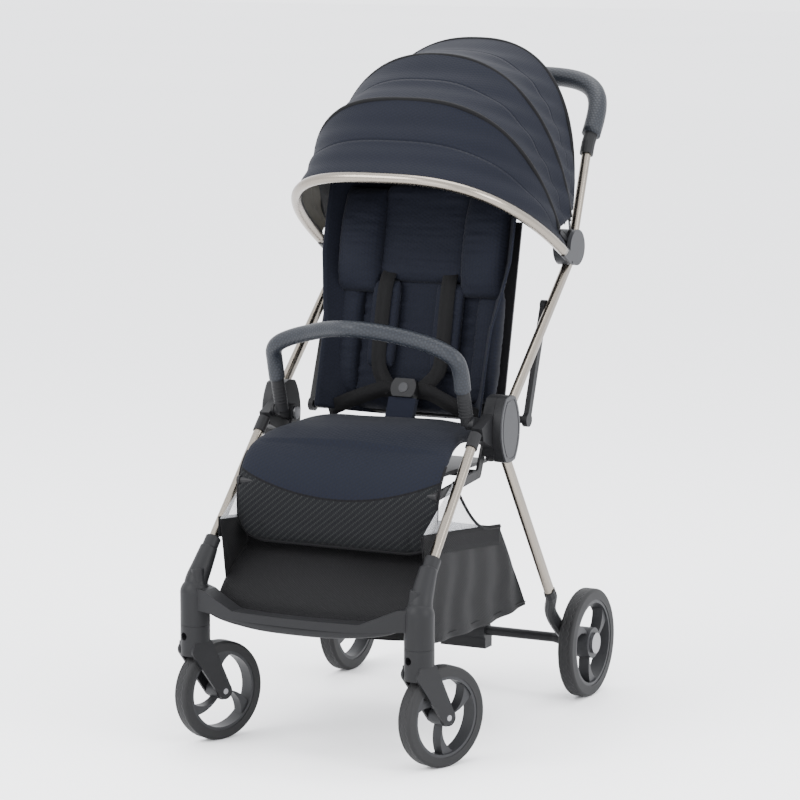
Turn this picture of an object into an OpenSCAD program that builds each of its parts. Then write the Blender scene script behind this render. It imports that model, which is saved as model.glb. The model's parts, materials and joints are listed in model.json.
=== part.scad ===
// Folding baby stroller. Front faces -Y, the child's left is +X, the floor is z = 0.
// Side-view points are written [y, z]; polar angles are measured from +Y towards +Z.

/* [Frame] */
// Height of the hub axis above the floor
hub_z = 479; // [440:1:560]
// Place of the hub axis from front to back
hub_y = -57; // [-80:1:-30]
// Distance from the hub axis to the canopy axis
pivot_reach = 346; // [300:1:420]
// Slope of the line from the hub axis to the canopy axis
pivot_slope = 49; // [44:1:56]
// Thickness of the push tubes across the stroller
push_w = 13; // [10:0.5:16]
// Depth of the push tubes in side view
push_d = 19; // [16:0.5:24]
// Inner face of the push tubes from the middle
push_in = 194.8; // [180:0.1:235]
// Radius of the front leg tubes
leg_r = 7.7; // [6:0.1:9]
// Radius of the upper handle tubes
upper_r = 7.5; // [6:0.1:9]
// Radius of the hub bolts
bolt_r = 6; // [5:0.1:8]

/* [Wheels] */
// Radius of the front wheels
front_wheel_r = 77.6; // [65:0.1:93]
// Radius of the rear wheels
rear_wheel_r = 88.5; // [74:0.1:106]
// Width of every wheel
wheel_w = 26; // [20:0.5:32]
// Place of the rear axle from front to back
rear_axle_y = 223; // [200:1:270]
// Middle of the rear wheels from the middle of the stroller
rear_wheel_x = 218; // [210:0.5:262]
// Caster axis from the middle of the stroller
caster_x = 192; // [186:0.5:231]
// Caster axis from front to back
caster_y = -338; // [-360:1:-320]
// Trail of the front wheels behind the caster axis
trail = 44; // [35:0.5:52]
// Turn of the casters at rest
caster_turn = 21.4; // [0:0.1:45]
// Radius of the wheel axles
axle_r = 4.5; // [4:0.1:6]

/* [Canopy] */
// Radius of the canopy hoops
hoop_r = 2.5; // [2:0.1:3]
// Half height of the bow tube
bow_h = 8; // [6:0.1:9]
// Half thickness of the bow tube
bow_t = 5; // [4:0.1:5.5]
// Radius of the canopy axis pin
canopy_pin_r = 5; // [4:0.1:7]
// Thickness of the canopy cloth solids
cloth_t = 2.5; // [1.5:0.1:4]

/* [Handle] */
// Radius of the handle grip
grip_r = 15.5; // [13:0.1:18]
// Distance from the canopy axis to the handle collars
collar_reach = 188.7; // [170:1:225]
// Half width of the handle at the collars
handle_w = 189; // [178:1:205]

/* [Seat] */
// Half width of the seat and the backrest
seat_w = 150; // [125:1:151]
// Half width of the seat front and the leg rest
front_w = 172; // [150:1:174]
// Height of the seat surface above the hub axis
seat_rise = -7; // [-12:0.5:-6]
// Length of the backrest pad
back_len = 328; // [280:1:350]
// Thickness of the backrest pad
back_t = 36; // [28:1:42]
// Length of the leg rest
leg_rest_len = 98; // [80:1:115]
// Radius of the bumper bar
bumper_r = 12.5; // [10:0.1:14]
// Middle of the bumper arms from the middle of the stroller
bumper_x = 161.8; // [158:0.1:162.5]

/* [Hidden] */
$fn = 40;
fit = 0.05;          // running clearance on a radius
gap = 0.4;           // free gap between moving faces
cloth_gap = 0.8;     // cloth edge to hoop tube
eps = 0.01;

hub = [hub_y, hub_z];
pivot = polar(hub, pivot_reach, pivot_slope);
push_mid = push_in + push_w / 2;
push_out = push_in + push_w;
housing_out = push_in - gap;                 // outer face of the hub housing
housing_t = 17.4;
housing_in = housing_out - housing_t;
cover_t = 2.4;
oval_h = 105;                                // hub oval height and width
oval_w = 70;
plate_t = 4.4;                               // plates that turn on the hub bolt
bumper_plate_x = housing_in - gap - plate_t;
seat_plate_x = bumper_plate_x - gap - plate_t;
bolt_head_x = seat_plate_x - gap - 3;

push_foot = polar(polar(hub, 14, 133.6), 24, 43.6);   // start of the push tube in its knuckle
bend = [pivot[0] + 18, pivot[1] - 16];                // where lower and upper tubes meet
collar = polar(pivot, collar_reach, 54.7);
leg_top = [hub_y - 75, hub_z - 3];
leg_foot = [caster_y + 39, 298];
leg_top_x = housing_out - leg_r - 2.2;
leg_foot_x = leg_top_x + 5;
caster_seam = front_wheel_r + 109.4;         // top of the caster head
axle = [rear_axle_y, rear_wheel_r];
rear_leg_dir = atan2(rear_wheel_r + 108.5 - hub_z, rear_axle_y - 129 - hub_y);
rear_leg_top = polar(hub, 54, rear_leg_dir);
rear_leg_foot = [rear_axle_y - 129, rear_wheel_r + 108.5];
rear_knuckle_x = housing_in + 4;
rear_leg_w = 13;
rear_leg_d = 20;
rear_top_x = rear_knuckle_x + rear_leg_w / 2 + 0.3;
rear_foot_x = rear_wheel_x - 9;
bracket_x = rear_wheel_x - wheel_w / 2 - 9.7;
bracket_w = 16;
brake_ring_r = 19;                           // ring of lock holes in each rear rim
brake_pin_r = 2.6;
canopy_x = push_out + 0.4;                   // first washer of the canopy stack
washer_t = 1;
washer_step = 1.2;
disc_r = 28.5;                               // radius of the canopy discs
bow_disc_x = canopy_x + 5 * washer_step;
bow_disc_t = 6.6;

recline_axis = [hub_y + 102, hub_z - 1];
back_foot = [hub_y + 75, hub_z + 4];
back_slope = 77;
leg_rest_axis = [hub_y - 179, hub_z - 81];
bumper_base = [hub_y - 55, hub_z + 13];
bumper_tilt = 106.8;
bumper_top = polar(bumper_base, 55.4, bumper_tilt);
buckle_at = [hub_y + 50, hub_z + 28];

// ---- helpers ----------------------------------------------------------------

function polar(o, r, a) = [o[0] + r * cos(a), o[1] + r * sin(a)];
function at(x, p) = [x, p[0], p[1]];
function unit(v) = v / norm(v);
function mix(a, b, t) = a + (b - a) * t;

// Both sides of the stroller
module both() {
    children();
    mirror([1, 0, 0]) children();
}

// One side: 1 is the child's left, -1 the right
module side(s) {
    if (s > 0) children();
    else mirror([1, 0, 0]) children();
}

// Extrudes a flat outline from one point to another, its X kept across the stroller
module along(a, b) {
    v = b - a;
    l = norm(v);
    translate(a) rotate([atan2(-v[1], v[2]), 0, 0]) rotate([0, asin(v[0] / l), 0])
        linear_extrude(l) children();
}

module rod(a, b, r) {
    along(a, b) circle(r = r);
}

// Slot-shaped outline: w along X, d along Y
module slot(w, d) {
    square([w, d - w], center = true);
    for (s = [-1, 1]) translate([0, s * (d - w) / 2]) circle(d = w);
}

// Side-view outline [y, z] extruded along X from x0 over t
module plate(x0, t) {
    translate([x0, 0, 0]) rotate([90, 0, 90]) linear_extrude(t) children();
}

module disc_at(p, x0, t, r) {
    plate(x0, t) translate(p) circle(r = r);
}

// Oval hub outline made from two side arcs and a round top and bottom
module oval(h, w) {
    tall = h * 1.24;
    r = (tall * tall + w * w) / (4 * w);
    intersection() {
        translate(hub + [w / 2 - r, 0]) circle(r = r);
        translate(hub - [w / 2 - r, 0]) circle(r = r);
        translate(hub) circle(r = h / 2);
    }
}

// Tube of an oval section swept along points; n is normal to the bend plane
module sweep(path, n, rn, rp, sides = 10) {
    m = len(path);
    ring = [for (i = [0:m - 1])
        let (t = unit(path[min(i + 1, m - 1)] - path[max(i - 1, 0)]),
             u = unit(cross(t, n)), w = cross(u, t))
        for (k = [0:sides - 1])
            path[i] + rp * cos(360 * k / sides) * u + rn * sin(360 * k / sides) * w];
    walls = [for (i = [0:m - 2]) for (k = [0:sides - 1])
        let (a = i * sides + k, b = i * sides + (k + 1) % sides)
        each [[a, b, b + sides], [a, b + sides, a + sides]]];
    first = [for (k = [sides - 1:-1:0]) k];
    last = [for (k = [0:sides - 1]) (m - 1) * sides + k];
    polyhedron(ring, concat(walls, [first], [last]), convexity = 8);
}

// Closed shell between two grids of m by k points, outer first
module shell(outer, inner) {
    m = len(outer);
    k = len(outer[0]);
    pts = concat([for (r = outer) each r], [for (r = inner) each r]);
    o = m * k;
    skin = [for (i = [0:m - 2]) for (j = [0:k - 2])
        let (a = i * k + j, b = a + 1, c = a + k + 1, d = a + k)
        each [[a, b, c], [a, c, d], [o + a, o + c, o + b], [o + a, o + d, o + c]]];
    rim = [for (j = [0:k - 2])
        each [[j, o + j, o + j + 1], [j, o + j + 1, j + 1],
              [(m - 1) * k + j, (m - 1) * k + j + 1, o + (m - 1) * k + j + 1],
              [(m - 1) * k + j, o + (m - 1) * k + j + 1, o + (m - 1) * k + j]]];
    ends = [for (i = [0:m - 2])
        each [[i * k, (i + 1) * k, o + (i + 1) * k], [i * k, o + (i + 1) * k, o + i * k],
              [i * k + k - 1, o + i * k + k - 1, o + (i + 1) * k + k - 1],
              [i * k + k - 1, o + (i + 1) * k + k - 1, (i + 1) * k + k - 1]]];
    polyhedron(pts, concat(skin, rim, ends), convexity = 8);
}

// ---- canopy curves ----------------------------------------------------------

// Each hoop: [slope of its plane, reach, half width, squareness, start from the canopy axis]
rear_hoop = [72.3, 316, push_in + 11.2, 2.4, [-9, 19.6]];
middle_hoop = [101.2, 292.5, push_in + 16.7, 2.3, [-4.3, 14]];
front_hoop = [121.4, 284.3, push_in + 14.2, 2.7, [-26, -5.5]];
bow_hoop = [150.9, 324.2, push_in + 23.2, 2.9, [13.1, -35.1]];

function power(v, e) = v <= 0 ? 0 : pow(v, e);
function hoop_at(h, t) = let (c = cos(t), r = h[1] * power(sin(t), 2 / h[3]))
    at(sign(c) * h[2] * power(abs(c), 2 / h[3]), pivot + h[4] + r * [cos(h[0]), sin(h[0])]);
function hoop_path(h, t0, steps) = [for (i = [0:steps]) hoop_at(h, t0 + (180 - 2 * t0) * i / steps)];
function hoop_normal(h) = [0, -sin(h[0]), cos(h[0])];

module hoop(h, t0, rn, rp) {
    sweep(hoop_path(h, t0, 40), hoop_normal(h), rn, rp);
}

// Flat arm of a hoop from its washer on the canopy axis to the start of its curve
module hoop_arm(h, t0, x0, t) {
    foot = hoop_at(h, t0);
    ex = [foot[1], foot[2]];
    d = unit(ex - pivot);
    plate(x0, t) difference() {
        union() {
            translate(pivot) circle(r = disc_r - 16);
            polygon([pivot + 5 * [-d[1], d[0]], ex + 3 * [-d[1], d[0]] + 3 * d,
                     ex - 3 * [-d[1], d[0]] + 3 * d, pivot - 5 * [-d[1], d[0]]]);
        }
        translate(pivot) circle(r = canopy_pin_r + fit);
    }
}

// Cloth between two hoops, set in from each by its tube
function cloth_row(a, b, ra, rb, cols) = let (l = norm(b - a))
    [for (j = [0:cols]) mix(a, b, mix(ra / l, 1 - rb / l, j / cols))];
function inward(p, t) = p + t * unit([0, pivot[0], pivot[1]] - p);

module cloth(h1, h2, r1, r2, t0) {
    steps = 26;
    mid = [for (i = [0:steps]) let (t = t0 + (180 - 2 * t0) * i / steps)
        cloth_row(hoop_at(h1, t), hoop_at(h2, t), r1, r2, 3)];
    shell([for (r = mid) [for (p = r) inward(p, -cloth_t / 2)]],
        [for (r = mid) [for (p = r) inward(p, cloth_t / 2)]]);
}

// Smooth curve through control points
function spline(p, steps) = let (m = len(p) - 1) [for (i = [0:m * steps])
    let (k = min(floor(i / steps), m - 1), t = i / steps - k,
         a = p[max(k - 1, 0)], b = p[k], c = p[k + 1], d = p[min(k + 2, m)])
    0.5 * (2 * b + (c - a) * t + (2 * a - 5 * b + 4 * c - d) * t * t
           + (3 * b - a - 3 * c + d) * t * t * t)];

// ---- chassis ----------------------------------------------------------------

leg_dir = unit(at(leg_foot_x, leg_foot) - at(leg_top_x, leg_top));

// Space swept by the rear knuckle between its two end positions
module knuckle_room(r, w) {
    translate(hub) circle(r = r);
    for (a = [rear_leg_dir, rear_leg_dir - 44.8]) polygon([
        polar(hub, w, a + 90), polar(polar(hub, w, a + 90), 90, a),
        polar(polar(hub, w, a - 90), 90, a), polar(hub, w, a - 90)]);
    polygon([hub, polar(hub, 90, rear_leg_dir), polar(hub, 110, rear_leg_dir - 22.4),
             polar(hub, 90, rear_leg_dir - 44.8)]);
}

module hub_housings() color([0.1, 0.1, 0.11]) both() {
    difference() {
        union() {
            plate(housing_in, housing_t) {
                oval(oval_h, oval_w);
                polygon([hub + [-20, 30], leg_top + [4, 12], leg_top + [10, -8], hub + [-20, -30]]);
            }
            rod(at(leg_top_x, leg_top) - 4 * leg_dir, at(leg_top_x, leg_top) + 22 * leg_dir,
                leg_r + 1.9);
        }
        rod(at(leg_top_x, leg_top), at(leg_top_x, leg_top) + 60 * leg_dir, leg_r + fit);
        plate(housing_in + 3.6, 9.8) knuckle_room(25.4, 11);
        disc_at(hub, housing_in - 1, housing_t + 2, bolt_r + fit);
    }
}

module hub_bolts() color([0.6, 0.6, 0.62]) both() {
    disc_at(hub, bolt_head_x, 3, bolt_r + 4);
    disc_at(hub, bolt_head_x + 2, push_out - gap - bolt_head_x - 2, bolt_r);
}

module front_legs() color([0.72, 0.68, 0.6]) both()
    rod(at(leg_top_x, leg_top), at(leg_foot_x, leg_foot), leg_r);

socket_knee = at(leg_foot_x, leg_foot) + 24 * leg_dir;
module footboard() color([0.12, 0.12, 0.13]) {
    both() difference() {
        union() {
            translate([caster_x, caster_y, caster_seam + gap])
                cylinder(r = 23, h = 51 - gap);
            translate([caster_x, caster_y, caster_seam + 50]) sphere(r = 23.1);
            rod(at(leg_foot_x, leg_foot) - 20 * leg_dir, socket_knee, leg_r + 4.6);
            translate(socket_knee) sphere(r = leg_r + 4.8);
            rod(socket_knee, [caster_x, caster_y, caster_seam + 46], leg_r + 6.5);
        }
        rod(at(leg_foot_x, leg_foot) - 30 * leg_dir, at(leg_foot_x, leg_foot), leg_r + fit);
        translate([caster_x, caster_y, caster_seam - 1]) cylinder(r = 8 + fit, h = 40);
    }
    difference() {
        intersection() {
            translate([0, 0, caster_seam + 15]) linear_extrude(60) difference() {
                translate([0, caster_y - 42 + 668]) circle(r = 668, $fn = 180);
                translate([0, caster_y - 17 + 442]) circle(r = 442, $fn = 120);
            }
            rotate([90, 0, 0]) translate([0, 0, -caster_y - 60]) linear_extrude(140) polygon([
                [-caster_x, caster_seam + 62], [-caster_x, caster_seam + 27],
                [-90, caster_seam + 21], [90, caster_seam + 21],
                [caster_x, caster_seam + 27], [caster_x, caster_seam + 62],
                [caster_x - 28, caster_seam + 58], [108, caster_seam + 34],
                [-108, caster_seam + 34], [-caster_x + 28, caster_seam + 58]]);
        }
        both() {
            translate([caster_x, caster_y, caster_seam]) cylinder(r = 22.5, h = 52);
            translate([caster_x, caster_y, caster_seam + 51]) sphere(r = 22.5);
        }
    }
}

basket_side = [[caster_y + 46, 345], [caster_y + 27, 250], [caster_y + 27, 204],
    [caster_y + 78, 174], [hub_y - 87, 180], [hub_y + 142, 172], [hub_y + 39, 317]];
function shrink(p, c, t) = [for (q = p) q + t * unit(c - q)];

basket_w = housing_in - 1.9;

// Basket box: open at the top, its front closed by the front panel
module basket() color([0.06, 0.06, 0.07]) difference() {
    plate(-basket_w, 2 * basket_w) polygon(basket_side);
    plate(-basket_w + 2.6, 2 * basket_w - 5.2) polygon(concat(
        [[basket_side[0][0] - 20, 400], [basket_side[1][0] - 20, 240]],
        [basket_side[2] + [-20, 4]],
        shrink([for (i = [2:5]) basket_side[i]], [hub_y - 60, 240], 6),
        [[basket_side[6][0] - 8, 400]]));
}

// Soft front panel and the two mesh side panels above the basket
// front cloth, from behind the leg rest down to the footboard
basket_front = [[107, 130], [103, 96], [75, 81], [49, 66], [21, 46], [2, 22], [0, 6]];

module basket_panels() color([0.1, 0.1, 0.11]) {
    plate(-basket_w + 3, 2 * basket_w - 6) polygon(concat(
        [for (p = basket_front) basket_side[2] + p],
        [for (i = [len(basket_front) - 1:-1:0]) basket_side[2] + basket_front[i]
            + (i == len(basket_front) - 1 ? [5, 0] : [4, -3])]));
    both() plate(basket_w - 2.6, 2.6)
        polygon([basket_side[0] + [4, 0.4], [hub_y - 128, hub_z - 66], basket_side[6] + [-2, 0.7]]);
}

// ---- rear frame -------------------------------------------------------------

module rear_knuckles() color([0.12, 0.12, 0.13]) both()
    difference() {
        plate(housing_in + 4, 9) {
            translate(hub) circle(r = 24);
            polygon([polar(hub, 10, rear_leg_dir + 90),
                polar(rear_leg_top, 10, rear_leg_dir + 90) ,
                polar(rear_leg_top, 10, rear_leg_dir - 90), polar(hub, 10, rear_leg_dir - 90)]);
        }
        disc_at(hub, housing_in, 20, bolt_r + fit);
        rear_leg_tube();
    }

module rear_leg_tube()
    along(at(rear_top_x, rear_leg_top), at(rear_foot_x, rear_leg_foot))
        slot(rear_leg_w, rear_leg_d);

module rear_legs() color([0.72, 0.68, 0.6]) both() rear_leg_tube();

module rear_brackets() color([0.1, 0.1, 0.11]) both() {
    foot = at(rear_foot_x, rear_leg_foot);
    d = unit(foot - at(rear_top_x, rear_leg_top));
    difference() {
        union() {
            sweep(concat([foot + 0.5 * d], spline([foot + 7 * d, foot + 14 * d,
                at(bracket_x + 1, mix(rear_leg_foot, axle, 0.3) + [-5, -9]),
                at(bracket_x, mix(rear_leg_foot, axle, 0.6) + [-7, -9]),
                at(bracket_x, axle + [-14, 5])], 4)), [1, 0, 0], 9, 12);
            disc_at(axle, bracket_x - bracket_w / 2, bracket_w, 24);
        }
        disc_at(axle, bracket_x - 20, 60, axle_r);
        disc_at(axle + [0, brake_ring_r], bracket_x - 20, 60, brake_pin_r + fit);
    }
}

crossbar_at = axle + [-3, 3];
module crossbar() color([0.15, 0.15, 0.16]) difference() {
    union() {
        disc_at(crossbar_at, -bracket_x + 8.4, 2 * bracket_x - 16.8, 8);
        both() translate(at(bracket_x - 34, crossbar_at)) rotate([0, 90, 0])
            cylinder(r1 = 8, r2 = 13, h = 24.9);
    }
    both() disc_at(axle, bracket_x - 20, 60, axle_r + fit);
    disc_at(crossbar_at, -41, 82, 9);
}

module rear_axles() color([0.62, 0.62, 0.64]) both() {
    disc_at(axle, bracket_x - 7, rear_wheel_x + 14 - bracket_x + 7, axle_r);
    disc_at(axle, rear_wheel_x + wheel_w / 2 + gap, 4.6, 17);
}

pedal_axis = crossbar_at + [14, -2];
module brake_housing() color([0.12, 0.12, 0.13]) difference() {
    union() {
        plate(-41, 82) {
            translate(crossbar_at) circle(r = 15);
            translate(crossbar_at + [-8, -30]) square([26, 30]);
        }
    }
    plate(-24, 48) translate(pedal_axis + [-11, -40]) square([60, 57]);
    disc_at(pedal_axis, -40, 80, 3 + fit);
}

module brake_pedal() color([0.3, 0.3, 0.31]) {
    disc_at(pedal_axis, -36, 72, 3);
    plate(-23, 46) {
        translate(pedal_axis) circle(r = 7);
        polygon([pedal_axis + [-2, 7], pedal_axis + [34, 17], pedal_axis + [37, 11],
                 pedal_axis + [4, -5]]);
    }
}

module brake_pin(s) side(s)
    disc_at(axle + [0, brake_ring_r], bracket_x - 6.5, 15.8, brake_pin_r);
module brake_pin_left() color([0.7, 0.7, 0.7]) brake_pin(1);
module brake_pin_right() color([0.7, 0.7, 0.7]) brake_pin(-1);

// ---- wheels: built round the X axis at the origin ------------------------------

module tyre(r) rotate([0, 90, 0]) rotate_extrude($fn = 72) {
    translate([r * 0.8, -wheel_w / 2]) square([r * 0.2 - 5, wheel_w]);
    translate([r - 6, -wheel_w / 2 + 5]) square([6, wheel_w - 10]);
    for (s = [-1, 1]) translate([r - 5, s * (wheel_w / 2 - 5)]) circle(r = 5);
}

module rim(r, hub_r, side_out) {
    difference() {
        union() {
            rotate([0, 90, 0]) rotate_extrude($fn = 72)
                translate([r * 0.74, -wheel_w / 2 + 1]) square([r * 0.06, wheel_w - 2]);
            translate([-9, 0, 0]) rotate([90, 0, 90]) linear_extrude(18)
                for (k = [0:2]) rotate(120 * k) intersection() {
                    circle(r = r * 0.77);
                    difference() {
                        translate([0, side_out * r * 0.85]) circle(r = r * 0.85);
                        translate([0, side_out * r * 0.5]) circle(r = r * 0.5);
                    }
                    translate([0, -r]) square([r, 2 * r]);
                }
            translate([-wheel_w / 2, 0, 0]) rotate([0, 90, 0]) cylinder(r = hub_r, h = wheel_w);
        }
        translate([-20, 0, 0]) rotate([0, 90, 0]) cylinder(r = axle_r + fit, h = 40);
    }
}

module rear_rim(s) side(s) difference() {
    translate(at(rear_wheel_x, axle)) rim(rear_wheel_r, 25, s);
    for (k = [0:11]) disc_at(polar(axle, brake_ring_r, 30 * k), rear_wheel_x - wheel_w / 2 - 1,
        7, brake_pin_r + 0.4, $fn = 16);
}
module rear_tyre(s) side(s) translate(at(rear_wheel_x, axle)) tyre(rear_wheel_r);

module rear_tyre_left() color([0.08, 0.08, 0.08]) rear_tyre(1);
module rear_tyre_right() color([0.08, 0.08, 0.08]) rear_tyre(-1);
module rear_rim_left() color([0.12, 0.12, 0.13]) rear_rim(1);
module rear_rim_right() color([0.12, 0.12, 0.13]) rear_rim(-1);

// Front wheels: drawn with the caster axis at the origin and the trail along +Y
module caster(s) translate([s * caster_x, caster_y, 0]) rotate([0, 0, -caster_turn]) children();
module front_wheel(s) caster(s) translate([0, trail, front_wheel_r]) children();

module fork(s) caster(s) difference() {
    union() {
        translate([0, 0, caster_seam - 2]) cylinder(r = 8, h = 38);
        difference() {
            translate([0, 0, caster_seam - 47]) cylinder(r = 23, h = 47);
            translate([-wheel_w / 2 - 1.2, trail, front_wheel_r]) rotate([0, 90, 0])
                cylinder(r = front_wheel_r + 3, h = wheel_w + 2.4);
            for (m = [-1, 1]) translate([m * (wheel_w / 2 + 6.2 + 20), 0, caster_seam - 37])
                cube([40, 60, 24], center = true);
        }
        for (m = [0, 1]) mirror([m, 0, 0]) plate(wheel_w / 2 + 1.2, 5) {
            polygon([[-19, caster_seam - 44], [-16, caster_seam - 26], [17, caster_seam - 24],
                     [trail + 12, front_wheel_r + 3], [trail - 10, front_wheel_r - 8]]);
            translate([trail, front_wheel_r]) circle(r = 12.5);
            translate([-9, caster_seam - 39]) circle(r = 11);
        }
    }
    plate(-40, 80) translate([trail, front_wheel_r]) circle(r = axle_r);
    translate([0, -30, caster_seam - 16]) rotate([-90, 0, 0]) cylinder(r = 6.2, h = 18);
}
module front_axle(s) caster(s) plate(-wheel_w / 2 - 6.2, wheel_w + 12.4)
    translate([trail, front_wheel_r]) circle(r = axle_r);

module caster_fork_left() color([0.12, 0.12, 0.13]) fork(1);
module caster_fork_right() color([0.12, 0.12, 0.13]) fork(-1);
module front_axle_left() color([0.62, 0.62, 0.64]) front_axle(1);
module front_axle_right() color([0.62, 0.62, 0.64]) front_axle(-1);
module front_tyre_left() color([0.08, 0.08, 0.08]) front_wheel(1) tyre(front_wheel_r);
module front_tyre_right() color([0.08, 0.08, 0.08]) front_wheel(-1) tyre(front_wheel_r);
module front_rim_left() color([0.12, 0.12, 0.13]) front_wheel(1) rim(front_wheel_r, 14, 1);
module front_rim_right() color([0.12, 0.12, 0.13]) front_wheel(-1) rim(front_wheel_r, 14, -1);

// ---- push bar ---------------------------------------------------------------

module lower_push(g) along(at(push_mid, push_foot), at(push_mid, bend))
    slot(push_w + 20 * g, push_d + 2 * g);

upper_foot = at(push_out - upper_r, bend);
upper_dir = unit(at(handle_w, collar) - upper_foot);
module upper_push(g) rod(upper_foot, at(handle_w, collar), upper_r + g);

module push_tubes() color([0.72, 0.68, 0.6]) both() {
    lower_push(0);
    upper_push(0);
    intersection() {
        translate(at(push_mid, bend)) sphere(r = push_d / 2);
        plate(push_in, push_w) translate(bend) circle(r = push_d);
    }
}

module push_knuckles() color([0.12, 0.12, 0.13]) both() difference() {
    plate(push_in, push_w) oval(oval_h, oval_w);
    lower_push(0.05);
    disc_at(hub, push_in - 1, push_w + 2, bolt_r + fit);
}

module hub_covers() color([0.45, 0.45, 0.46]) both() difference() {
    plate(push_out, cover_t) oval(oval_h - 2, oval_w - 2);
    plate(push_out + cover_t - 0.7, 1) difference() {
        oval(oval_h - 12, oval_w - 12);
        oval(oval_h - 17, oval_w - 17);
    }
}

strut_top = polar(hub, 240, 46.6);
module back_hinges() color([0.1, 0.1, 0.11]) both() difference() {
    plate(push_in - 8.6, 8.6) {
        translate(recline_axis) circle(r = 11);
        translate(strut_top) circle(r = 8);
        polygon([recline_axis + [-6, 2], strut_top + [-6, 2], strut_top + [6, -2],
                 recline_axis + [6, -2]]);
    }
    disc_at(recline_axis, push_in - 9, 7, 6 + fit);
}

module canopy_pivots() color([0.3, 0.3, 0.31]) both() {
    difference() {
        disc_at(pivot, push_in - 4.8, push_w + 4.8, disc_r);
        lower_push(0.05);
        intersection() {
            translate(at(push_mid, bend)) sphere(r = push_d / 2 + 0.1);
            plate(push_in - 1, push_w + 2) translate(bend) circle(r = push_d);
        }
        upper_push(fit);
    }
    disc_at(pivot, push_out - 1, bow_disc_x + 4 - push_out + 1, canopy_pin_r);
}

// Handle loop: slope, reach, half width, squareness, start from the canopy axis
loop = [52.6, 133, handle_w, 4.5, collar - pivot];
grip_from = 0.9;
module handle_collars() color([0.14, 0.14, 0.15]) both() difference() {
    sweep(concat([for (k = [16, 8]) at(handle_w, collar) - k * upper_dir],
        [for (i = [0:3]) hoop_at(loop, 0.02 + 0.8 * i / 3)]),
        [0, -sin(loop[0]), cos(loop[0])], 12, 11, 16);
    upper_push(0.02);
}

module handle_grip() color([0.2, 0.24, 0.3]) difference() {
    hoop(loop, grip_from, grip_r, grip_r);
    plate(-32, 64) translate(pivot) square([600, 600]);
}

module fold_housing() color([0.14, 0.14, 0.15]) difference() {
    tip = hoop_at(loop, 90);
    plate(-31.6, 63.2) translate([tip[1], tip[2]]) circle(r = grip_r + 1.5);
    plate(-16, 32) translate([tip[1], tip[2]]) rotate(loop[0]) translate([grip_r - 5, -6.2])
        square([12, 12.4]);
}

module fold_slider() color([0.45, 0.45, 0.46]) {
    tip = hoop_at(loop, 90);
    plate(-15, 20) translate([tip[1], tip[2]]) rotate(loop[0]) translate([grip_r - 4.6, -6])
        square([7.6, 12]);
}

module canopy_hoop_rear() color([0.1, 0.1, 0.1]) hoop(rear_hoop, 4, hoop_r, hoop_r);

lower_back = [84, 98, push_in + 3, 3.4, [0, 12]];
back_inset = hoop_r + cloth_t / 2 + 0.35;
back_edge = [rear_hoop[0], rear_hoop[1] - back_inset, rear_hoop[2] - back_inset, rear_hoop[3],
    rear_hoop[4]];
module canopy_back() color([0.12, 0.15, 0.22])
    cloth(back_edge, lower_back, 0.1, 0.5, 16);

// ---- canopy fan -------------------------------------------------------------

module canopy_hoop_middle() color([0.1, 0.1, 0.1]) {
    hoop(middle_hoop, 4, hoop_r, hoop_r);
    both() hoop_arm(middle_hoop, 4, canopy_x + washer_step, washer_t);
}
module canopy_hoop_front() color([0.1, 0.1, 0.1]) {
    hoop(front_hoop, 4, hoop_r, hoop_r);
    foot = hoop_at(front_hoop, 4);
    both() disc_at([foot[1], foot[2]], foot[0], canopy_x + 3 * washer_step + washer_t - foot[0], 3.4);
    both() hoop_arm(front_hoop, 4, canopy_x + 3 * washer_step, washer_t);
}
bow_from = 6;
module canopy_bow() color([0.12, 0.13, 0.14]) hoop(bow_hoop, bow_from, bow_h, bow_t);

module bow_knuckles() color([0.45, 0.45, 0.46]) both() {
    foot = hoop_at(bow_hoop, bow_from);
    d = unit(hoop_at(bow_hoop, bow_from + 1) - foot);
    difference() {
        union() {
            disc_at(pivot, bow_disc_x, bow_disc_t, disc_r);
            intersection() {
                rod(foot - 30 * d, foot - 0.3 * d, bow_h + 1);
                plate(bow_disc_x, bow_disc_t) translate(pivot) circle(r = 80);
            }
        }
        disc_at(pivot, bow_disc_x - 1, 5.4, canopy_pin_r + fit);
    }
}

module canopy_washer(k) both() difference() {
    disc_at(pivot, canopy_x + 2 * k * washer_step, washer_t, disc_r - 2);
    disc_at(pivot, canopy_x - 1, 30, canopy_pin_r + fit);
}
module canopy_washer_rear() color([0.2, 0.2, 0.2]) canopy_washer(0);
module canopy_washer_middle() color([0.2, 0.2, 0.2]) canopy_washer(1);
module canopy_washer_front() color([0.2, 0.2, 0.2]) canopy_washer(2);

module canopy_panel_rear() color([0.12, 0.15, 0.22])
    cloth(rear_hoop, middle_hoop, hoop_r + cloth_gap, hoop_r + cloth_gap, 13);
module canopy_panel_middle() color([0.12, 0.15, 0.22])
    cloth(middle_hoop, front_hoop, hoop_r + cloth_gap, hoop_r + cloth_gap, 13);
module canopy_panel_front() color([0.12, 0.15, 0.22])
    cloth(front_hoop, bow_hoop, hoop_r + cloth_gap + 0.1, bow_h + cloth_gap + 0.3, 17);

// ---- seat -------------------------------------------------------------------

seat_top = hub_z + seat_rise;
seat_front = hub_y - 189;
seat_rear = hub_y + 65;
bracket_low = polar(hub, 75, 245);

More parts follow.
